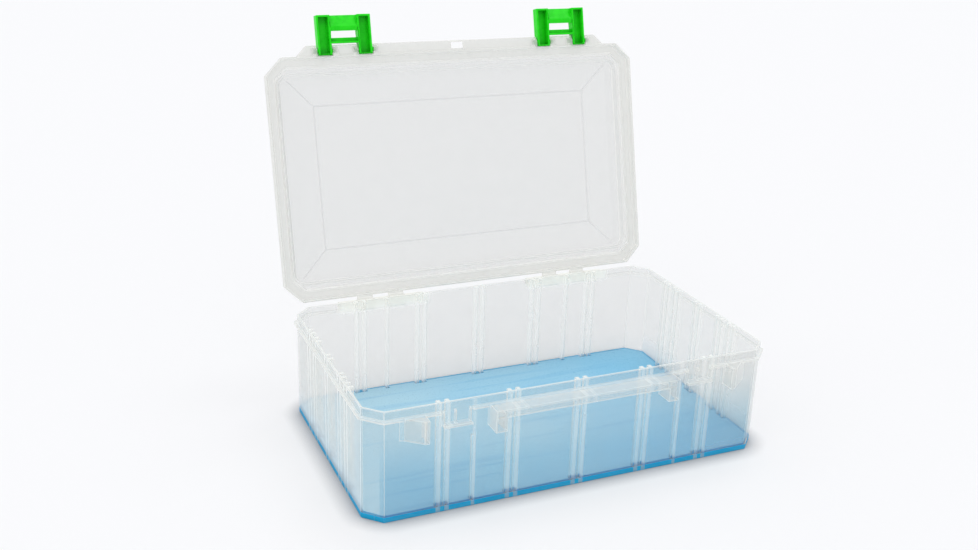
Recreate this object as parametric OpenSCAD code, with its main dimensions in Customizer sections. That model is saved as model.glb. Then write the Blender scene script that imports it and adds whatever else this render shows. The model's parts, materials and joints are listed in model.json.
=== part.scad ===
// Hinged utility box: a one-piece tray, a one-piece lid standing open on its stops,
// two snap-down latches, two hinge pins and a soft gel liner on the tray's floor.
// X runs along the length, -Y is the front with the latches, Z is up.
// The origin is the centre of the tray's underside. Sizes are millimetres.

/* [Tray] */
// Length over the tray's walls
tray_l = 350; // [340:1:370]
// Width over the tray's walls
tray_w = 207.4; // [200:0.2:216]
// Height of the tray's rim
tray_h = 93; // [90:1:100]
// Thickness of the walls
wall = 1.8; // [1.4:0.1:2.2]
// Thickness of the floor
floor_t = 1.6; // [1.2:0.1:2]
// Leg of the 45 degree cut on each upright corner
corner_cut = 13.5; // [11:0.5:16]

/* [Ledge below the rim] */
// How far the ledge stands out from the walls
ledge_out = 2.6; // [2.4:0.1:3]
// Distance from the rim down to the ledge's top
ledge_drop = 6.8; // [6.4:0.1:7.2]
// Thickness of the ledge
ledge_t = 2.2; // [1.6:0.1:2.6]

/* [Divider channels] */
// Spacing of the channels along the front and back walls
long_pitch = 57.5; // [54:0.5:60]
// Half spacing of the channels on the end walls
end_step = 17.5; // [16:0.5:19]
// Width over the two ribs of a channel
channel_w = 10.5; // [9:0.5:12]
// Width of one rib of a channel
rib_w = 3.4; // [2.6:0.1:4]
// How far a rib stands in from the wall
rib_in = 3.6; // [3:0.1:4]
// Distance of the single ribs from the middle
single_x = 90; // [86:1:94]
// Width of a single rib
single_w = 2.6; // [2:0.1:3.4]
// Height of the single ribs on the front wall
single_h = 60; // [40:1:70]

/* [Handle] */
// Half length of the grip over its end brackets
grip_x = 79.2; // [76:0.2:79.4]
// How far the grip stands out from the wall
grip_out = 15.2; // [13:0.1:17]
// Height of the grip's turned-down front lip
grip_lip = 6.6; // [5:0.1:9]
// Height of the end brackets
bracket_h = 18; // [14:0.5:20]
// Width of an end bracket
bracket_w = 9.4; // [8:0.1:12]

/* [Latches] */
// Distance of each latch's centre from the middle
latch_x = 105.2; // [105:0.1:105.4]
// Half width of a latch
latch_half = 24.4; // [24:0.1:24.6]
// Width of a latch's leg
leg_w = 12.2; // [11.6:0.1:12.4]
// Reach of a latch from its pivot to its tip
latch_reach = 30.4; // [28:0.2:32]
// Radius of a latch's pivot pegs
peg_r = 2; // [1.8:0.1:2.2]
// Distance from the lid's front edge to the latch pivot
pivot_out = 4.1; // [4:0.1:4.2]

/* [Lid] */
// Height of the recess under the lid's border
lid_step = 8.8; // [7:0.1:10]
// Further rise of the centre panel
panel_rise = 4; // [3:0.1:5]
// Reach of the front flange beyond the lid's edge
flange_out = 9; // [8.8:0.1:9.4]
// Thickness of the front flange
flange_t = 2.2; // [1.8:0.1:2.4]
// How far the lid swings open from closed, in degrees
open_angle = 104.4; // [95:0.2:106]

/* [Hinges] */
// Distance of each hinge's centre from the middle
hinge_x = 92; // [88:1:96]
// Distance of the hinge axis behind the tray's wall
hinge_out = 8.5; // [8.4:0.1:9]
// Radius of the hinge knuckles
knuckle_r = 3; // [2.8:0.1:3]
// Radius of the hinge pins
pin_r = 1.25; // [1:0.05:1.4]

/* [Gel liner] */
// Thickness of the gel sheet
gel_t = 3.4; // [2:0.1:5]

/* [Hidden] */
$fn = 48;
eps = 0.01;

// running clearance of a bore round its peg or pin, and the gap between faces that pass
fit_gap = 0.05;
face_gap = 0.3;

// half sizes of the tray and of the lid, whose edge is flush with the ledge
tray_x = tray_l / 2;
tray_y = tray_w / 2;
edge_y = tray_y + ledge_out;
// a 45 degree cut keeps its wall thickness when an outline moves in or out by one step
cut_growth = 2 - sqrt(2);

ledge_top = tray_h - ledge_drop;
ledge_z = ledge_top - ledge_t;

// the ribs of the divider channels reach the rim, and start inside the floor
rib_low = floor_t / 2;
long_places = [-2 : 2];
end_places = [-3, -2, 0, 2, 3];

// stretches of ledge left out: the back between the hinges, and the front over each catch
back_gap_x = 50;
catch_half = 11.4;
catch_gap_half = 12.6;

// the catch: a thin shelf on webs, below the gap in the ledge
catch_t = 1.8;
catch_z = tray_h - 19.1;
catch_out = 5.9;
catch_web_t = 1.2;
catch_web_out = 2.4;
catch_web_places = [-1, -0.1, 1];

// the guards beside the latches: inner face, width of the flat front, and where the slope meets the wall
guard_in = latch_x + latch_half + 0.8;
guard_flat = 3.8;
guard_long = guard_in + 19;
guard_out = 12.4;
guard_h = 18.6;
guard_t = 1.6;

// the lid: skirt, shoulder that sits over the rim, tongue inside the ribs, step and panel
lid_t = 1.8;
skirt_z = ledge_top + 0.4;
shoulder_z = tray_h + 0.3;
shoulder_top = shoulder_z + lid_t;
tongue_drop = 1.8;
tongue_t = 1.4;
tongue_gap = 0.7;
tongue_out = -(wall + rib_in + tongue_gap);
step_x = tray_x - 10;
step_y = tray_y - 13.3;
step_r = 9;
border_z = shoulder_z + lid_step;
hip_x = step_x - 8.7;
hip_y = step_y - 4.9;
panel_x = hip_x - 22.9;
panel_y = hip_y - 21.7;

// the front flange of the lid
flange_root_x = tray_x - 25.5;
flange_tip_x = flange_root_x - 9.1;
flange_mid_z = tray_h - 2.8;
flange_cut = 5;
hang_w = 12;
hang_h = 5.6;
hang_y = 4.6;
tongue_half = 11.4;
slot_half = 25.6;
boss_r = 3.2;
boss_w = 4.6;
boss_skin = 0.8;
end_swing_r = 4.9;

// the latch pivot, in the closed lid's frame
pivot_y = -(edge_y + pivot_out);
pivot_z = flange_mid_z;

// the latch's section: t is the distance above the pivot when the lid is shut, u the reach
leg_low = -3;
leg_high = 4.8;
latch_skin = 1.6;
leg_wall = 1.7;
leg_end_r = 4.6;
stop_u = -3.8;
stop_t = 2;
channel_u = -2.6;
back_u = -8;
peg_out = 3.4;
bar_u = 6;
bar_t = 1.6;
plate_low = 0.4;
plate_high = 2.4;
window_u = 10.9;
hook_u = 16.7;
hook_slope = 1;
ramp_u = 19.6;
ramp_land = 0.6;
ramp_t = 1.8;

// the hinge axis, and the ends of its knuckles counted from the hinge's centre
axis_y = tray_y + hinge_out;
axis_z = ledge_top + 0.7;
hinge_half = 40;
mid_half = 7;
lid_knuckle_from = mid_half + face_gap;
lid_knuckle_to = 21.7;
arm_t = 2.2;
stop_lug = 7.5;
stop_angle = 38.4;

// room between the gel liner and the tray's walls and ribs
gel_gap = 0.4;

// The box's outline at a distance out from the tray's walls: a rectangle with cut corners
module outline(out) {
    x = tray_x + out;
    y = tray_y + out;
    c = corner_cut + out * cut_growth;
    polygon([[-x, c - y], [c - x, -y], [x - c, -y], [x, c - y],
             [x, y - c], [x - c, y], [c - x, y], [-x, y - c]]);
}

// A rectangle with round corners, from its half sizes
module round_outline(x, y, r) {
    square([2 * x, 2 * (y - r)], center = true);
    square([2 * (x - r), 2 * y], center = true);
    for (sx = [-1, 1], sy = [-1, 1])
        translate([sx * (x - r), sy * (y - r)]) circle(r);
}

// A closed band between two outlines, from z0 to z1
module band(outer, inner, z0, z1) {
    translate([0, 0, z0]) linear_extrude(z1 - z0) difference() {
        outline(outer);
        outline(inner);
    }
}

// A block given by its two opposite corners
module block(a, b) {
    translate(a) cube(b - a);
}

// Both ribs of one divider channel on a long wall
module long_channel(x, side) {
    y0 = side * (tray_y - wall / 2);
    y1 = side * (tray_y - wall - rib_in);
    for (s = [-1, 1]) {
        xm = x + s * (channel_w - rib_w) / 2;
        block([xm - rib_w / 2, min(y0, y1), rib_low], [xm + rib_w / 2, max(y0, y1), tray_h]);
    }
}

// Both ribs of one divider channel on an end wall
module end_channel(y, side) {
    x0 = side * (tray_x - wall / 2);
    x1 = side * (tray_x - wall - rib_in);
    for (s = [-1, 1]) {
        ym = y + s * (channel_w - rib_w) / 2;
        block([min(x0, x1), ym - rib_w / 2, rib_low], [max(x0, x1), ym + rib_w / 2, tray_h]);
    }
}

// A single rib on a long wall, up to height top
module single_rib(x, side, top) {
    y0 = side * (tray_y - wall / 2);
    y1 = side * (tray_y - wall - rib_in);
    block([x - single_w / 2, min(y0, y1), rib_low], [x + single_w / 2, max(y0, y1), top]);
}

// All the ribs inside the tray
module ribs() {
    for (side = [-1, 1]) {
        for (i = long_places) long_channel(i * long_pitch, side);
        for (i = end_places) end_channel(i * end_step, side);
    }
    for (s = [-1, 1]) {
        single_rib(s * single_x, -1, single_h);
        single_rib(s * single_x, 1, tray_h);
    }
}

// The ledge round the outside, with its gaps
module ledge() {
    difference() {
        band(ledge_out, -wall / 2, ledge_z, ledge_top);
        block([-back_gap_x, tray_y, ledge_z - 1], [back_gap_x, edge_y + 1, ledge_top + 1]);
        for (s = [-1, 1])
            block([s * latch_x - catch_gap_half, -edge_y - 1, ledge_z - 1],
                  [s * latch_x + catch_gap_half, -tray_y, ledge_top + 1]);
    }
}

// The shelf that a latch's window hooks under, with the webs that hold it up
module catch(x) {
    block([x - catch_half, -tray_y - catch_out, catch_z],
          [x + catch_half, eps - tray_y, catch_z + catch_t]);
    for (f = catch_web_places) {
        xm = x + f * (catch_half - catch_web_t / 2);
        block([xm - catch_web_t / 2, -tray_y - catch_web_out, catch_z],
              [xm + catch_web_t / 2, eps - tray_y, ledge_top]);
    }
}

// One guard beside a latch: a hollow wedge with a roof, open below; side is -1 or 1
module guard(side) {
    y0 = -tray_y + eps;
    y1 = -tray_y - guard_out;
    mirror([side > 0 ? 1 : 0, 0, 0]) translate([0, 0, ledge_top - guard_h]) difference() {
        linear_extrude(guard_h) polygon([[-guard_long, y0], [-guard_in - guard_flat, y1],
                                         [-guard_in, y1], [-guard_in, y0]]);
        translate([0, 0, -1]) linear_extrude(guard_h - guard_t + 1)
            polygon([[-guard_long + 2 * guard_t, y0 + 1], [-guard_long + 2 * guard_t, y0],
                     [-guard_in - guard_flat + guard_t / 2, y1 + guard_t],
                     [-guard_in - guard_t, y1 + guard_t], [-guard_in - guard_t, y0 + 1]]);
    }
}

// The handle: a grip with a turned-down lip between two hollow brackets
module handle() {
    y0 = -tray_y + eps;
    y1 = -tray_y - grip_out;
    block([-grip_x, y1, ledge_top - ledge_t], [grip_x, y0, ledge_top]);
    block([-grip_x, y1, ledge_top - grip_lip], [grip_x, y1 + wall, ledge_top]);
    for (s = [-1, 1]) mirror([s > 0 ? 1 : 0, 0, 0]) difference() {
        block([-grip_x, y1, ledge_top - bracket_h], [-grip_x + bracket_w, y0, ledge_top]);
        block([-grip_x + guard_t, y1 + guard_t, ledge_top - bracket_h - 1],
              [-grip_x + bracket_w - guard_t, y0 + 1, ledge_top - ledge_t]);
    }
}

// A cylinder along the hinge axis, between two distances from the middle
module on_axis(x0, x1, r) {
    translate([x0, axis_y, axis_z]) rotate([0, 90, 0]) cylinder(r = r, h = x1 - x0);
}

// A knuckle of the tray, on an arm that grows out of the ledge
module tray_knuckle(x0, x1) {
    difference() {
        union() {
            on_axis(x0, x1, knuckle_r);
            block([x0, tray_y - eps, ledge_z], [x1, axis_y, ledge_top]);
        }
        on_axis(x0 - 1, x1 + 1, pin_r);
    }
}

// A knuckle of the lid, on an arm from the skirt, with the lug that stops the lid when open
module lid_knuckle(x0, x1) {
    difference() {
        union() {
            on_axis(x0, x1, knuckle_r);
            block([x0, edge_y - eps, skirt_z], [x1, axis_y, skirt_z + arm_t]);
            translate([x0, axis_y, axis_z]) rotate([180 + stop_angle + open_angle, 0, 0])
                translate([0, 0, -arm_t / 2]) cube([x1 - x0, stop_lug, arm_t]);
        }
        on_axis(x0 - 1, x1 + 1, pin_r + fit_gap);
    }
}

module tray() {
    color([0.93, 0.94, 0.93]) {
        difference() {
            linear_extrude(tray_h) outline(0);
            translate([0, 0, floor_t]) linear_extrude(tray_h) outline(-wall);
        }
        ribs();
        ledge();
        handle();
        for (s = [-1, 1]) {
            catch(s * latch_x);
            guard(s);
            tray_knuckle(s * hinge_x - hinge_half, s * hinge_x - lid_knuckle_to - face_gap);
            tray_knuckle(s * hinge_x - mid_half, s * hinge_x + mid_half);
            tray_knuckle(s * hinge_x + lid_knuckle_to + face_gap, s * hinge_x + hinge_half);
        }
    }
}

// Swings a shape that is drawn with the lid shut into the open lid's place
module swing_open() {
    translate([0, axis_y, axis_z]) rotate([-open_angle, 0, 0])
        translate([0, -axis_y, -axis_z]) children();
}

// The raised centre of the lid, grown or shrunk by skin
module panel_block(skin) {
    hull() {
        translate([0, 0, border_z + skin - 1])
            linear_extrude(1) square(2 * [hip_x + skin, hip_y + skin], center = true);
        translate([0, 0, border_z + panel_rise + skin - eps])
            linear_extrude(eps) square(2 * [panel_x + skin / 2, panel_y + skin / 2], center = true);
    }
}

// A boss of the flange round the latch axis, between two distances from the middle
module boss(x0, x1) {
    translate([x0, pivot_y, pivot_z]) rotate([0, 90, 0]) cylinder(r = boss_r, h = x1 - x0);
    block([x0, pivot_y, pivot_z - boss_r], [x1, eps - edge_y, pivot_z + boss_r]);
}

// The front flange: its hang slot, the leg slots, and the bosses that hold the latches' pegs
module flange() {
    y1 = -edge_y - flange_out;
    difference() {
        translate([0, 0, flange_mid_z - flange_t / 2]) linear_extrude(flange_t)
            polygon([[-flange_root_x, eps - edge_y], [-flange_tip_x, y1],
                     [flange_tip_x, y1], [flange_root_x, eps - edge_y]]);
        block([-hang_w / 2, -edge_y - hang_y - hang_h / 2, flange_mid_z - flange_cut],
              [hang_w / 2, -edge_y - hang_y + hang_h / 2, flange_mid_z + flange_cut]);
        for (s = [-1, 1], side = [-1, 1]) leg_slot(s, side);
    }
    for (x = [-latch_x, latch_x]) {
        boss(x - slot_half - boss_w, x - slot_half);
        boss(x - tongue_half, x - tongue_half + boss_w);
        boss(x + tongue_half - boss_w, x + tongue_half);
        boss(x + slot_half, x + slot_half + boss_w);
    }
}

// The room that a leg of a latch takes in the flange, out from the lid's edge
module leg_slot(s, side) {
    xa = s * latch_x + side * tongue_half;
    xb = s * latch_x + side * slot_half;
    block([min(xa, xb), -edge_y - flange_out - 1, pivot_z - flange_cut],
          [max(xa, xb), -edge_y, pivot_z + flange_cut]);
}

// The lid as it sits when it is shut
module shut_lid() {
    difference() {
        union() {
            band(ledge_out, ledge_out - lid_t, skirt_z, shoulder_top);
            translate([0, 0, shoulder_z]) linear_extrude(lid_t) outline(ledge_out);
            translate([0, 0, shoulder_z]) linear_extrude(border_z + lid_t - shoulder_z)
                round_outline(step_x + lid_t, step_y + lid_t, step_r + lid_t);
            band(tongue_out, tongue_out - tongue_t, shoulder_z - tongue_drop, shoulder_z + eps);
            panel_block(lid_t);
            flange();
        }
        translate([0, 0, shoulder_z - 10]) linear_extrude(border_z - shoulder_z + 10)
            round_outline(step_x, step_y, step_r);
        panel_block(0);
        for (s = [-1, 1], side = [-1, 1])
            translate([s * latch_x + side * (tongue_half + slot_half) / 2, pivot_y, pivot_z])
                rotate([0, 90, 0]) {
                    cylinder(r = end_swing_r, h = slot_half - tongue_half, center = true);
                    cylinder(r = peg_r + fit_gap, h = slot_half - tongue_half + 2 * (boss_w - boss_skin),
                             center = true);
                }
    }
    for (s = [-1, 1]) {
        lid_knuckle(s * hinge_x - lid_knuckle_to, s * hinge_x - lid_knuckle_from);
        lid_knuckle(s * hinge_x + lid_knuckle_from, s * hinge_x + lid_knuckle_to);
    }
}

module lid() {
    color([0.93, 0.94, 0.93]) swing_open() shut_lid();
}

// A prism with its outline in the latch's (u, t) plane, between two distances across the latch
module across(x0, x1, points) {
    translate([x0, pivot_y, pivot_z]) rotate([90, 0, 90]) linear_extrude(x1 - x0)
        polygon([for (p = points) [-p[0], p[1]]]);
}

// A leg before its channel is cut: round at the pivot end, with the square stop corner on top
module leg_side(x0, x1) {
    intersection() {
        union() {
            translate([x0, pivot_y, pivot_z]) rotate([0, 90, 0]) cylinder(r = leg_end_r, h = x1 - x0);
            across(x0, x1, [[0, leg_low], [latch_reach, leg_low],
                            [latch_reach, leg_high], [0, leg_high]]);
            across(x0, x1, [[stop_u, leg_high - stop_t], [1, leg_high - stop_t],
                            [1, leg_high], [stop_u, leg_high]]);
        }
        across(x0, x1, [[back_u, leg_low], [latch_reach, leg_low],
                        [latch_reach, leg_high], [back_u, leg_high]]);
    }
}

// One leg: an open channel, its skin on the outside of the shut box, and its two pegs
module leg(side) {
    a = side * latch_half;
    b = side * (latch_half - leg_w);
    low = min(a, b);
    high = max(a, b);
    difference() {
        leg_side(low, high);
        across(low + leg_wall, high - leg_wall,
               [[channel_u, leg_low - 1], [latch_reach - leg_wall, leg_low - 1],
                [latch_reach - leg_wall, leg_high - latch_skin], [channel_u, leg_high - latch_skin]]);
    }
    for (x = [low - peg_out, high - leg_wall / 2])
        translate([x, pivot_y, pivot_z]) rotate([0, 90, 0])
            cylinder(r = peg_r, h = peg_out + leg_wall / 2);
}

// One latch as it lies with the lid shut and the latch let go, centred on its own middle
module latch() {
    inner = latch_half - leg_w + eps;
    leg(-1);
    leg(1);
    // bar between the window and the pivot, with the rib along its lower edge
    across(-inner, inner, [[bar_u, leg_low], [bar_u + bar_t, leg_low], [bar_u + bar_t, plate_low],
                           [window_u, plate_low], [window_u, plate_high], [bar_u, plate_high]]);
    // hook below the window, sloped so that it rides over the catch
    across(-inner, inner, [[hook_u, leg_low + hook_slope], [ramp_u, leg_low],
                           [ramp_u + ramp_land, leg_low], [ramp_u + ramp_land, plate_low],
                           [hook_u, plate_low]]);
    // finger ramp from the hook out to the tip
    across(-inner, inner, [[ramp_u, leg_low], [ramp_u + 1, leg_low],
                           [latch_reach, leg_high - ramp_t], [latch_reach, leg_high],
                           [latch_reach - 1, leg_high], [ramp_u, leg_low + ramp_t]]);
}

module latch_left() {
    color([0.15, 0.85, 0.13]) swing_open() translate([-latch_x, 0, 0]) latch();
}

module latch_right() {
    color([0.15, 0.85, 0.13]) swing_open() translate([latch_x, 0, 0]) latch();
}

module gel_liner() {
    color([0.35, 0.70, 0.88, 0.8]) difference() {
        translate([0, 0, floor_t]) linear_extrude(gel_t) outline(-wall - gel_gap);
        for (side = [-1, 1]) {
            for (i = long_places) translate([i * long_pitch, side * tray_y, floor_t]) rib_room(channel_w);
            for (s = [-1, 1]) translate([s * single_x, side * tray_y, floor_t]) rib_room(single_w);
            for (i = end_places) translate([side * tray_x, i * end_step, floor_t])
                rotate([0, 0, 90]) rib_room(channel_w);
        }
    }
}

// The notch in the gel's edge round a rib or a channel of width w
module rib_room(w) {
    depth = wall + rib_in + gel_gap;
    translate([-w / 2 - gel_gap, -depth, -1]) cube([w + 2 * gel_gap, 2 * depth, gel_t + 2]);
}

// One hinge pin, pressed into the tray's knuckles
module hinge_pin(x) {
    translate([x, axis_y, axis_z]) rotate([0, 90, 0])
        cylinder(r = pin_r, h = 2 * hinge_half - 2, center = true);
}

module hinge_pin_left() {
    color([0.90, 0.90, 0.87]) hinge_pin(-hinge_x);
}

module hinge_pin_right() {
    color([0.90, 0.90, 0.87]) hinge_pin(hinge_x);
}

tray();
lid();
latch_left();
latch_right();
gel_liner();
hinge_pin_left();
hinge_pin_right();
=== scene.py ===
"""The looks of an open utility box: frosted polypropylene tray and lid, green latches, a blue gel liner and
plastic hinge pins, on a pale studio floor. All lengths are metres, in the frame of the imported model."""

import json
import math

import bpy
from mathutils import Matrix, Vector


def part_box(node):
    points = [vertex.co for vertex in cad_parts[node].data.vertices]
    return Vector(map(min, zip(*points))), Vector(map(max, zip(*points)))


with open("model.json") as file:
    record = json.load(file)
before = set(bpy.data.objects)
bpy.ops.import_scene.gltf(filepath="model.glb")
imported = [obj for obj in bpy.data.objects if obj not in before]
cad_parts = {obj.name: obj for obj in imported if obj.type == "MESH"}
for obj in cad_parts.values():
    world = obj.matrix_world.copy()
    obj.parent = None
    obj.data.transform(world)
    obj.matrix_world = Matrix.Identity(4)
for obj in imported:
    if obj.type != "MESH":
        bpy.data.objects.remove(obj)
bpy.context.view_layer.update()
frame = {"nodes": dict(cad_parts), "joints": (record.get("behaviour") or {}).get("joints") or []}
MM = 0.001

# --- the model's own measures -----------------------------------------------------------------------
WALL = 1.8 * MM
RIM = 93 * MM
CORNER_CUT = 13.5 * MM
LINER_GAP = 0.4 * MM
LINER_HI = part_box("gel_liner")[1]
LINER_TOP = LINER_HI.z
WALL_X = LINER_HI.x + LINER_GAP + WALL
WALL_Y = LINER_HI.y + LINER_GAP + WALL

# the ledge below the rim: how far it stands out, and the height of its underside
LEDGE_OUT = 2.6 * MM
LEDGE_LOW = RIM - 9 * MM

# the divider channels: their places, the distance of a rib from its channel's middle, the ribs' half
# widths, and how far the ribs reach in from the outside of the wall
LONG_PITCH = 57.5 * MM
END_CHANNELS = (35 * MM, 52.5 * MM)
RIB_OFF = 3.55 * MM
RIB_HALF = 1.7 * MM
SINGLE_RIB_X = 90 * MM
SINGLE_RIB_HALF = 1.3 * MM
RIB_DEPTH = 5.5 * MM

# the hinges: a point on the axis, how far the lid opens, and the stretch of back wall that holds each one
HINGE = next(j for j in frame["joints"] if j["name"] == "lid_hinge")
HINGE_AT = Vector(HINGE["pos_m"])
OPEN_ANGLE = math.radians(HINGE["range_deg"][1])
HINGE_X = 92 * MM
HINGE_HALF = 41 * MM
HINGE_ROOT = 7 * MM

# half sizes of the lid's raised panel, the run of the hips from its corners, and how far in the milky
# border reaches
PANEL_X = 133.4 * MM
PANEL_Y = 63.8 * MM
HIP_RUN = 22.5 * MM
LID_BORDER = 9 * MM

# --- frosted plastic --------------------------------------------------------------------------------
# how much of what lies behind it a surface hides, where it is thin, thick or painted with glow or shade
THIN_OPACITY = 0.10
THICK_OPACITY = 0.46
PAINTED_GLOW_AND_SHADE_OPACITY = 0.8
# the colour of light that passes, and of light that comes back
THIN_CLEAR = (0.942, 0.941, 0.936)
THICK_CLEAR = (0.985, 0.983, 0.975)
# painted: the blue tinge given to light passing the front wall
PAINTED_BLUE_CLEAR = (0.66, 0.81, 0.88)
THIN_MILK = (0.93, 0.93, 0.915)
THICK_MILK = (0.97, 0.965, 0.925)
# the liner's blue, painted on the walls as glow
LINER_PAINTED_GLOW = (0.005, 0.50, 0.84)
# the grey of the lid's painted shade
FOLD_SHADE = (0.45, 0.47, 0.47)
# the share of milk that lets light through, and the most slanting look that still counts as more plastic
TRANSLUCENCY = 0.4
LEAST_SQUARE_ON = 0.25
PLASTIC_IOR = 1.49

# thickness of each region, about 0 to 1
EDGE_THICK = 0.8
RIB_EDGE_THICK = 0.28
RIB_THICK = 0.22
BAR_THICK = 0.3
FITTING_THICK = 0.15
LEDGE_THICK = 0.55
HINGE_THICK = 1.1
BORDER_THICK = 0.8
# painted glow, given as emission, standing in for light that reaches a region from inside the plastic
RIB_PAINTED_GLOW = 0.10
HINGE_PAINTED_GLOW = 0.14

# the liner's painted light on the walls: a deep strip beside it, a haze above it, the front wall's tinge
BAND_BEHIND_BAR = 0.65
HAZE_HEIGHT = 26 * MM
HAZE_STRENGTH = 0.10
END_HAZE = 2.0
# the painted tinge of the front wall: the heights between which it fades out, and its strength
TINGE_LOW = 15 * MM
TINGE_HIGH = 85 * MM
TINGE_STRENGTH = 0.9

# painted shade on the lid: all over, more on its border, most along its folds
LID_SHADE = 0.17
BORDER_SHADE = 0.03
FOLD_SHADE_STRENGTH = 0.38

# --- the other materials ----------------------------------------------------------------------------
# the green of the painted shade in recesses, then the plain green's range
GREEN_IN_PAINTED_SHADE = (0.003, 0.45, 0.003)
GREEN_LOW = (0.010, 0.68, 0.006)
GREEN_HIGH = (0.018, 0.76, 0.010)
GREEN_IOR = 1.45
GREEN_GLOSS = 0.22
# how far round a point the mouldings darken it with painted shade
RECESS_SHADE_REACH = 8 * MM
GEL_BLUE = (0.19, 0.53, 0.77)
# the pale colour of the painted sheen
GEL_PAINTED_SHEEN = (0.42, 0.67, 0.80)
GEL_STREAK = (0.10, 0.42, 0.68)
# the deep blue painted on the sides, for the light that has come through the sheet's length
GEL_SIDE_PAINTED_LIGHT = (0.006, 0.48, 0.80)
GEL_IOR = 1.43
PIN_LOW = (0.84, 0.835, 0.80)
PIN_HIGH = (0.90, 0.895, 0.865)

# --- rounded edges ----------------------------------------------------------------------------------
BODY_EDGE = 0.5 * MM
LATCH_EDGE = 0.45 * MM
PIN_EDGE = 0.2 * MM
SHARPEST_SMOOTH = math.radians(35)

# --- camera, floor and light ------------------------------------------------------------------------
CAMERA_AT = Vector((-0.3957, -0.8022, 0.4838))
CAMERA_YAW = 0.4211
CAMERA_PITCH = 0.3676
CAMERA_ROLL = 0.0351
CAMERA_LENS = 42.35
SENSOR_WIDTH = 36
# how many see-through surfaces a ray passes; the box has many, one behind the other
SURFACES_IN_A_ROW = 48
SKY_COLOUR = (0.93, 0.94, 0.96, 1)
SKY_STRENGTH = 0.875

FLOOR_RADIUS = 14
FLOOR_SIDES = 96
FLOOR_PAPER = (0.885, 0.885, 0.893)
FLOOR_GLOW = (0.93, 0.93, 0.945)
# how much of the floor's brightness doesn't depend on the light that reaches it, so that shadows stay soft
FLOOR_LIFT = 0.35
# the painted contact shadow: how far it reaches from the box, how deep it is, and its colour
SHADE_REACH = 17 * MM
SHADE_DEPTH = 1.05
PAINTED_SHADOW_COLOUR = (0.10, 0.10, 0.11)

# between these two lie nearly all of a noise's values
NOISE_LOW = 0.3
NOISE_HIGH = 0.7


class Shader:
    """One material's node tree, with short calls that add a node and return its first output."""

    def __init__(self, name):
        self.material = bpy.data.materials.new(name)
        self.material.use_nodes = True
        self.tree = self.material.node_tree
        self.tree.nodes.clear()
        self.output = self.tree.nodes.new("ShaderNodeOutputMaterial")

    def plug(self, value, socket):
        if isinstance(value, bpy.types.NodeSocket):
            self.tree.links.new(value, socket)
        elif isinstance(value, tuple) and len(value) == 3 and socket.type == "RGBA":
            socket.default_value = (*value, 1)
        else:
            socket.default_value = value

    def node(self, kind, inputs=None, **settings):
        made = self.tree.nodes.new("ShaderNode" + kind)
        for key, value in settings.items():
            setattr(made, key, value)
        for key, value in (inputs or {}).items():
            self.plug(value, made.inputs[key])
        return made

    def math(self, operation, a, b=0.0, c=0.0):
        made = self.node("Math", operation=operation)
        for value, socket in zip((a, b, c), made.inputs):
            self.plug(value, socket)
        return made.outputs[0]

    def times(self, *factors):
        product = factors[0]
        for factor in factors[1:]:
            product = self.math("MULTIPLY", product, factor)
        return product

    def most(self, *values):
        largest = values[0]
        for value in values[1:]:
            largest = self.math("MAXIMUM", largest, value)
        return largest

    def minus(self, a, b):
        return self.math("SUBTRACT", a, b)

    def size(self, value):
        return self.math("ABSOLUTE", value)

    def blend(self, factor, at_zero, at_one):
        """Goes from the number at_zero to the number at_one with the factor."""
        return self.math("MULTIPLY_ADD", factor, at_one - at_zero, at_zero)

    def ramp(self, value, low, high, to_low=0.0, to_high=1.0):
        """A smooth step of value from low to high."""
        made = self.node("MapRange", {"Value": value, "From Min": low, "From Max": high, "To Min": to_low,
                                      "To Max": to_high}, interpolation_type="SMOOTHSTEP", clamp=True)
        return made.outputs[0]

    def drop(self, value, low, high):
        """A smooth step down from 1 to 0."""
        return self.ramp(value, low, high, 1.0, 0.0)

    def spread(self, noise, to_low=0.0, to_high=1.0):
        """A noise's usual values laid out from to_low to to_high."""
        return self.ramp(noise, NOISE_LOW, NOISE_HIGH, to_low, to_high)

    def point(self):
        return self.node("TexCoord").outputs["Object"]

    def axes(self, vector):
        made = self.node("SeparateXYZ", {0: vector})
        return made.outputs[0], made.outputs[1], made.outputs[2]

    def stretched(self, vector, factors):
        return self.node("VectorMath", {0: vector, 1: factors}, operation="MULTIPLY").outputs[0]

    def noise(self, vector, scale, detail):
        return self.node("TexNoise", {"Vector": vector, "Scale": scale, "Detail": detail}).outputs[0]

    def mix_colour(self, factor, a, b):
        made = self.node("Mix", data_type="RGBA")
        self.plug(factor, made.inputs[0])
        self.plug(a, made.inputs[6])
        self.plug(b, made.inputs[7])
        return made.outputs[2]

    def mix_shader(self, factor, a, b):
        made = self.node("MixShader")
        for value, socket in zip((factor, a, b), made.inputs):
            self.plug(value, socket)
        return made.outputs[0]

    def bump(self, height, distance, strength):
        return self.node("Bump", {"Height": height, "Distance": distance, "Strength": strength}).outputs[0]

    def open_sky(self, reach):
        """1 where nothing within reach keeps the light off, less in recesses and beside other surfaces."""
        return self.node("AmbientOcclusion", {"Distance": reach}, samples=8).outputs["AO"]

    def finish(self, surface):
        self.tree.links.new(surface, self.output.inputs["Surface"])
        return self.material


# --- where a point lies on the box ------------------------------------------------------------------
def wall_distance(s, x, y):
    """How far a point lies outside the tray's walls, a rectangle with cut corners; negative inside."""
    ax = s.size(x)
    ay = s.size(y)
    along_cut = s.minus(s.math("ADD", ax, ay), WALL_X + WALL_Y - CORNER_CUT)
    return s.most(s.minus(ax, WALL_X), s.minus(ay, WALL_Y), s.times(along_cut, math.sqrt(0.5)))


def near(s, value, centre, half_width):
    """1 where value is within half_width of centre, with a soft end."""
    return s.drop(s.size(s.minus(value, centre)), half_width - 0.1 * MM, half_width + 0.3 * MM)


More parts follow.
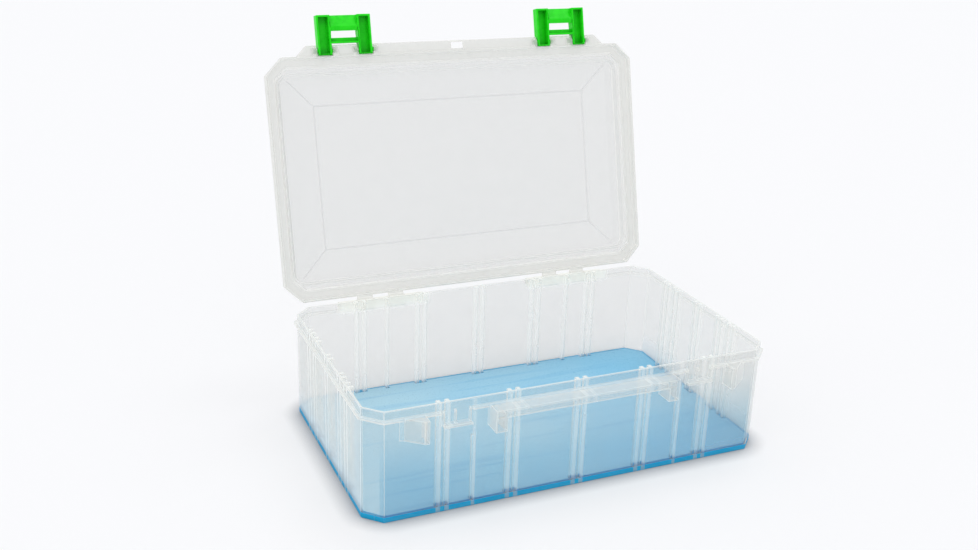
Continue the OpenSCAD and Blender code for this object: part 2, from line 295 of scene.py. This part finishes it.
def channel_bars(s, x, y):
    """1 on the stretches of the four walls that have a divider rib behind them."""
    along_x = s.size(x)
    along_y = s.size(y)
    # the channels of the long walls repeat, so a zigzag gives the distance to the nearest one
    from_channel = s.math("PINGPONG", x, LONG_PITCH / 2)
    long_rib = s.most(near(s, from_channel, RIB_OFF, RIB_HALF),
                      near(s, along_x, SINGLE_RIB_X, SINGLE_RIB_HALF))
    end_rib = near(s, along_y, RIB_OFF, RIB_HALF)
    for place in END_CHANNELS:
        from_channel = s.size(s.minus(along_y, place))
        end_rib = s.most(end_rib, near(s, from_channel, RIB_OFF, RIB_HALF))
    on_end = s.ramp(along_x, WALL_X - RIB_DEPTH - 0.5 * MM, WALL_X - RIB_DEPTH)
    on_long = s.ramp(along_y, WALL_Y - RIB_DEPTH - 0.5 * MM, WALL_Y - RIB_DEPTH)
    return s.most(s.times(end_rib, on_end), s.times(long_rib, s.minus(1.0, on_end), on_long))


def hinge_roots(s, x, y, z):
    """1 on the knuckles and on the top of the back wall at each hinge."""
    beside = s.drop(s.size(s.minus(s.size(x), HINGE_X)), HINGE_HALF - 3 * MM, HINGE_HALF + 5 * MM)
    top = s.ramp(z, RIM - HINGE_ROOT - 6 * MM, RIM - HINGE_ROOT)
    return s.times(beside, top, s.ramp(y, WALL_Y - 6 * MM, WALL_Y - 3 * MM))


def painted_liner_band(s, z):
    """1 on the lowest strip of the tray, beside the liner's edge, where its deep blue is painted on as
    glow.
    """
    return s.drop(z, LINER_TOP - 0.5 * MM, LINER_TOP)


def painted_liner_haze(s, z):
    """The blue light that the liner throws on the walls just above it, painted on as glow."""
    return s.ramp(z, LINER_TOP, LINER_TOP + HAZE_HEIGHT, HAZE_STRENGTH, 0.0)


def lid_fold_shade_mask(s, x, y):
    """1 on the faint folds along the raised panel and down its four hips, where shade is painted."""
    beside = s.minus(s.size(x), PANEL_X)
    before = s.minus(s.size(y), PANEL_Y)
    off_edge = s.size(s.most(beside, before))
    off_hip = s.size(s.minus(beside, before))
    past_corner = s.ramp(s.math("MINIMUM", beside, before), -0.3 * MM, 0.3 * MM)
    before_border = s.drop(beside, HIP_RUN, HIP_RUN + 0.6 * MM)
    on_hip = s.times(s.drop(off_hip, 0.4 * MM, 1.3 * MM), past_corner, before_border)
    return s.most(s.drop(off_edge, 0.3 * MM, 1.1 * MM), on_hip)


# --- materials --------------------------------------------------------------------------------------
def frosted(s, point, thick, painted_glow_and_shade, painted_tinge=0.0, painted_inner_glow=0.0):
    """Milky polypropylene. Thick, about 0 to 1, is how much plastic lies behind the surface: where there is
    more, the surface hides more of what lies behind it and glows paler. After thick comes a (strength,
    colour) painted over it: the liner's blue as a painted glow on the tray, painted shade on the lid. Then
    comes how much, from 0 to 1, of the liner's blue is painted into the light that passes, and last a
    painted glow, given as emission, for light that reaches the surface through the plastic."""
    mottle = s.noise(point, 40.0, 3.0)
    grain = s.noise(point, 1400.0, 2.0)
    flow = s.noise(point, 7.0, 1.0)
    rough = s.spread(s.math("MULTIPLY_ADD", grain, 0.4, s.times(mottle, 0.6)), 0.26, 0.40)
    normal = s.bump(s.math("MULTIPLY_ADD", grain, 0.02, flow), 0.25 * MM, 0.3)
    opacity = s.times(s.blend(thick, THIN_OPACITY, THICK_OPACITY), s.spread(mottle, 0.92, 1.08))
    # painted glow and painted shade make the surface more opaque and set its colour
    opacity = s.math("MULTIPLY_ADD", painted_glow_and_shade[0], s.minus(PAINTED_GLOW_AND_SHADE_OPACITY, opacity), opacity)
    tint = s.mix_colour(painted_glow_and_shade[0], s.mix_colour(thick, THIN_MILK, THICK_MILK), painted_glow_and_shade[1])
    passing = s.mix_colour(s.ramp(thick, 0.0, 0.3), THIN_CLEAR, THICK_CLEAR)
    # a blue tinge painted into the light that passes
    passing = s.mix_colour(painted_tinge, passing, PAINTED_BLUE_CLEAR)
    # a slanting look passes through more plastic, so the surface hides more
    facing = s.node("LayerWeight", {"Blend": 0.5}).outputs["Facing"]
    square_on = s.most(s.minus(1.0, facing), LEAST_SQUARE_ON)
    passed = s.math("POWER", s.minus(1.0, opacity), s.math("DIVIDE", 1.0, square_on))
    # the emission is a painted glow
    skin = s.node("BsdfPrincipled", {"Base Color": tint, "Roughness": rough, "Normal": normal,
                                     "IOR": PLASTIC_IOR, "Emission Color": tint,
                                     "Emission Strength": painted_inner_glow})
    glow = s.node("BsdfTranslucent", {"Color": tint, "Normal": normal})
    milk = s.mix_shader(TRANSLUCENCY, skin.outputs[0], glow.outputs[0])
    clear = s.node("BsdfTransparent", {"Color": passing})
    return s.finish(s.mix_shader(passed, milk, clear.outputs[0]))


def edge_plastic():
    """The rounded edges, where light that runs along inside the walls comes out."""
    s = Shader("frosted_edge")
    point = s.point()
    x, y, z = s.axes(point)
    within = s.drop(wall_distance(s, x, y), -WALL - 0.6 * MM, -WALL)
    on_rib = s.times(within, s.drop(z, RIM - 2 * MM, RIM - 1 * MM))
    above = s.ramp(z, LINER_TOP, LINER_TOP + 1.5 * MM)
    thick = s.times(s.blend(on_rib, EDGE_THICK, RIB_EDGE_THICK), above)
    # the liner's blue, painted on as glow beside it and just above it
    return frosted(s, point, thick, (s.most(painted_liner_band(s, z), painted_liner_haze(s, z)), LINER_PAINTED_GLOW))


def tray_plastic():
    """The tray: milkier where a rib, the ledge, the rim or a hinge thickens it, with the liner's blue
    painted on beside it as glow.
    """
    s = Shader("frosted_tray")
    point = s.point()
    x, y, z = s.axes(point)
    out = wall_distance(s, x, y)
    above = s.ramp(z, LINER_TOP, LINER_TOP + 0.6 * MM)
    on_rib = s.times(s.drop(out, -WALL - 0.5 * MM, -WALL - 0.2 * MM), above)
    on_bar = channel_bars(s, x, y)
    on_ledge = s.times(s.drop(out, LEDGE_OUT + 0.3 * MM, LEDGE_OUT + 0.6 * MM),
                       s.ramp(z, LEDGE_LOW - 0.4 * MM, LEDGE_LOW - 0.1 * MM))
    fitting = s.times(s.ramp(out, 0.2 * MM, 0.5 * MM), s.blend(on_ledge, FITTING_THICK, LEDGE_THICK))
    rim = s.ramp(z, RIM - 1.2 * MM, RIM - 0.2 * MM)
    at_hinge = hinge_roots(s, x, y, z)
    thick = s.most(s.times(on_rib, RIB_THICK), s.times(on_bar, above, BAR_THICK), fitting, rim,
                   s.times(at_hinge, HINGE_THICK))
    # painted glow of the liner's blue: a deep strip on the outer faces, a haze on the inner faces and end
    # walls
    outer_face = s.ramp(out, -0.3 * MM, -0.1 * MM)
    painted_band = s.times(painted_liner_band(s, z), outer_face, s.blend(on_bar, 1.0, BAND_BEHIND_BAR))
    inner_face = s.times(s.minus(1.0, outer_face), above)
    end_wall = s.ramp(s.size(x), WALL_X - 0.5 * MM, WALL_X)
    painted_haze = s.times(painted_liner_haze(s, z), s.most(inner_face, s.times(end_wall, END_HAZE)))
    # a blue tinge painted into the light that passes the front wall, strongest low down
    painted_tinge = s.times(s.drop(y, -WALL_Y + 2 * MM, -WALL_Y + 3 * MM),
                    s.ramp(z, TINGE_LOW, TINGE_HIGH, TINGE_STRENGTH, 0.0))
    # a painted glow, as emission, on the hinge roots and the ribs
    painted_inner_glow = s.most(s.times(at_hinge, HINGE_PAINTED_GLOW), s.times(on_rib, RIB_PAINTED_GLOW))
    return frosted(s, point, thick, (s.most(painted_band, painted_haze), LINER_PAINTED_GLOW), painted_tinge, painted_inner_glow)


def lid_plastic():
    """The lid, worked out in the place that it has when it is shut."""
    s = Shader("frosted_lid")
    point = s.point()
    turn = s.node("VectorRotate", {"Vector": point, "Center": tuple(HINGE_AT), "Angle": OPEN_ANGLE},
                  rotation_type="X_AXIS")
    x, y = s.axes(turn.outputs[0])[:2]
    border = s.ramp(wall_distance(s, x, y), -WALL - LID_BORDER, -WALL - 1 * MM, 0.0, BORDER_THICK)
    knuckle = s.ramp(y, WALL_Y + 3 * MM, WALL_Y + 4 * MM)
    # painted shade: grey all over the lid, more on its border, most along its folds
    painted_lid_shade = s.most(s.times(lid_fold_shade_mask(s, x, y), FOLD_SHADE_STRENGTH),
                  s.math("MULTIPLY_ADD", border, BORDER_SHADE, LID_SHADE))
    thick = s.most(border, s.times(knuckle, HINGE_THICK))
    # the knuckles also get a painted glow, as emission
    return frosted(s, point, thick, (painted_lid_shade, FOLD_SHADE), painted_inner_glow=s.times(knuckle, HINGE_PAINTED_GLOW))


def green_plastic():
    """Glossy green mouldings, with shade painted deeper green in the recesses of the legs."""
    s = Shader("green_latch")
    point = s.point()
    grain = s.noise(point, 1800.0, 2.0)
    mottle = s.noise(point, 140.0, 3.0)
    rough = s.spread(s.math("MULTIPLY_ADD", grain, 0.4, s.times(mottle, 0.6)), 0.24, 0.38)
    colour = s.mix_colour(s.ramp(mottle, 0.35, 0.65), GREEN_LOW, GREEN_HIGH)
    # painted shade: deeper green where the mouldings close round a point
    colour = s.mix_colour(s.ramp(s.open_sky(RECESS_SHADE_REACH), 0.25, 0.85), GREEN_IN_PAINTED_SHADE, colour)
    normal = s.bump(s.math("MULTIPLY_ADD", grain, 0.1, mottle), 0.1 * MM, 0.4)
    skin = s.node("BsdfPrincipled", {"Base Color": colour, "Roughness": rough, "Normal": normal,
                                     "IOR": GREEN_IOR, "Specular IOR Level": GREEN_GLOSS})
    return s.finish(skin.outputs[0])


def gel():
    """A soft blue sheet: pale from above, with a painted sheen, and painted deep blue along its edge for
    the light that has come through its length.
    """
    s = Shader("blue_gel")
    point = s.point()
    x = s.axes(point)[0]
    rough = s.spread(s.noise(point, 900.0, 2.0), 0.27, 0.31)
    # painted sheen: pale patches, more of them towards the left end
    cloud = s.ramp(s.noise(point, 6.0, 2.0), 0.35, 0.65)
    painted_sheen = s.math("MULTIPLY_ADD", cloud, 0.35, s.ramp(x, -WALL_X / 2, WALL_X, 0.65, 0.0))
    top = s.mix_colour(painted_sheen, GEL_BLUE, GEL_PAINTED_SHEEN)
    # faint lines where the sheet has flowed along its length
    streak = s.noise(s.stretched(point, (5, 110, 1)), 1.0, 2.0)
    top = s.mix_colour(s.ramp(streak, 0.54, 0.66, 0.0, 0.25), top, GEL_STREAK)
    # the sides, found by their normal, are painted deep blue for light that has come through the sheet
    up = s.axes(s.node("NewGeometry").outputs["Normal"])[2]
    colour = s.mix_colour(s.drop(s.size(up), 0.35, 0.85), top, GEL_SIDE_PAINTED_LIGHT)
    normal = s.bump(s.noise(point, 14.0, 2.0), 0.4 * MM, 0.4)
    skin = s.node("BsdfPrincipled", {"Base Color": colour, "Roughness": rough, "Normal": normal,
                                     "IOR": GEL_IOR})
    return s.finish(skin.outputs[0])


def pin_plastic():
    """A cut length of natural polypropylene rod, with the fine lines of drawing along it."""
    s = Shader("pin_plastic")
    lines = s.noise(s.stretched(s.point(), (0.05, 1, 1)), 6000.0, 3.0)
    colour = s.mix_colour(s.spread(lines), PIN_LOW, PIN_HIGH)
    skin = s.node("BsdfPrincipled", {"Base Color": colour, "Roughness": s.spread(lines, 0.30, 0.46),
                                     "Normal": s.bump(lines, 0.02 * MM, 0.4), "IOR": PLASTIC_IOR})
    return s.finish(skin.outputs[0])


def dress(name, material, edge, segments=3, edge_material=None):
    """Gives a CAD node its material and rounds its sharp edges, with their own material if there is one."""
    node = frame["nodes"][name]
    node.data.materials.append(None)
    for slot, chosen in zip(node.material_slots, (material, edge_material or material)):
        slot.link = "OBJECT"
        slot.material = chosen
    weld = node.modifiers.new("weld", "WELD")
    weld.merge_threshold = 0.001 * MM
    bevel = node.modifiers.new("round_edges", "BEVEL")
    bevel.width = edge
    bevel.segments = segments
    bevel.limit_method = "ANGLE"
    bevel.angle_limit = SHARPEST_SMOOTH
    bevel.use_clamp_overlap = False
    bevel.harden_normals = True
    bevel.material = 1


def dress_the_box():
    edge = edge_plastic()
    green = green_plastic()
    rod = pin_plastic()
    dress("tray", tray_plastic(), BODY_EDGE, edge_material=edge)
    dress("lid", lid_plastic(), BODY_EDGE, edge_material=edge)
    dress("gel_liner", gel(), BODY_EDGE)
    for side in ("left", "right"):
        dress("latch_" + side, green, LATCH_EDGE)
        dress("hinge_pin_" + side, rod, PIN_EDGE, segments=2)


# --- the studio -------------------------------------------------------------------------------------
def studio_paper():
    """Pale paper, with a contact shadow painted right beside the box, where its walls keep the light off.
    """
    s = Shader("studio_paper")
    fibre = s.noise(s.point(), 400.0, 3.0)
    # painted contact shadow, from how much of the sky the box hides nearby
    outside_painted_shadow = s.most(s.blend(s.open_sky(SHADE_REACH), 1.0 - SHADE_DEPTH, 1.0), 0.0)
    skin = s.node("BsdfPrincipled", {"Base Color": s.mix_colour(outside_painted_shadow, PAINTED_SHADOW_COLOUR, FLOOR_PAPER),
                                     "Roughness": s.spread(fibre, 0.8, 0.9), "Specular IOR Level": 0.2})
    lift = s.node("Emission", {"Color": s.mix_colour(outside_painted_shadow, PAINTED_SHADOW_COLOUR, FLOOR_GLOW), "Strength": 1.0})
    return s.finish(s.mix_shader(FLOOR_LIFT, skin.outputs[0], lift.outputs[0]))


def studio_floor():
    turns = [2 * math.pi * i / FLOOR_SIDES for i in range(FLOOR_SIDES)]
    rim = [(FLOOR_RADIUS * math.cos(turn), FLOOR_RADIUS * math.sin(turn), 0) for turn in turns]
    mesh = bpy.data.meshes.new("studio_floor")
    mesh.from_pydata(rim, [], [tuple(range(FLOOR_SIDES))])
    mesh.materials.append(studio_paper())
    floor = bpy.data.objects.new("studio_floor", mesh)
    bpy.context.scene.collection.objects.link(floor)


def sun(name, came_from, strength, spread):
    data = bpy.data.lights.new(name, "SUN")
    data.energy = strength
    data.angle = math.radians(spread)
    lamp = bpy.data.objects.new(name, data)
    lamp.rotation_euler = (-Vector(came_from)).to_track_quat("-Z", "Y").to_euler()
    bpy.context.scene.collection.objects.link(lamp)


def camera():
    heading = Vector((math.sin(CAMERA_YAW), math.cos(CAMERA_YAW), 0))
    forward = heading * math.cos(CAMERA_PITCH) - Vector((0, 0, math.sin(CAMERA_PITCH)))
    level = Vector((math.cos(CAMERA_YAW), -math.sin(CAMERA_YAW), 0))
    upright = level.cross(forward)
    right = level * math.cos(CAMERA_ROLL) + upright * math.sin(CAMERA_ROLL)
    up = upright * math.cos(CAMERA_ROLL) - level * math.sin(CAMERA_ROLL)
    data = bpy.data.cameras.new("camera")
    data.sensor_width = SENSOR_WIDTH
    data.lens = CAMERA_LENS
    data.clip_start = 0.01
    cam = bpy.data.objects.new("camera", data)
    turn = Matrix((right, up, -forward)).transposed()
    cam.matrix_world = Matrix.Translation(CAMERA_AT) @ turn.to_4x4()
    bpy.context.scene.collection.objects.link(cam)
    bpy.context.scene.camera = cam


def light():
    """A pale sky all round, a soft sun from above on the right, and two weak ones, from front and left."""
    world = bpy.data.worlds.new("studio")
    world.use_nodes = True
    sky = world.node_tree.nodes["Background"]
    sky.inputs["Color"].default_value = SKY_COLOUR
    sky.inputs["Strength"].default_value = SKY_STRENGTH
    scene = bpy.context.scene
    scene.world = world
    scene.view_settings.view_transform = "Standard"
    scene.cycles.transparent_max_bounces = SURFACES_IN_A_ROW
    sun("key", (0.7, 0.35, 1.6), 0.6, 35)
    sun("front_fill", (-0.5, -1.2, 0.9), 0.2, 60)
    sun("left_fill", (-1.2, -0.1, 0.8), 0.5, 60)


dress_the_box()
studio_floor()
camera()
light()
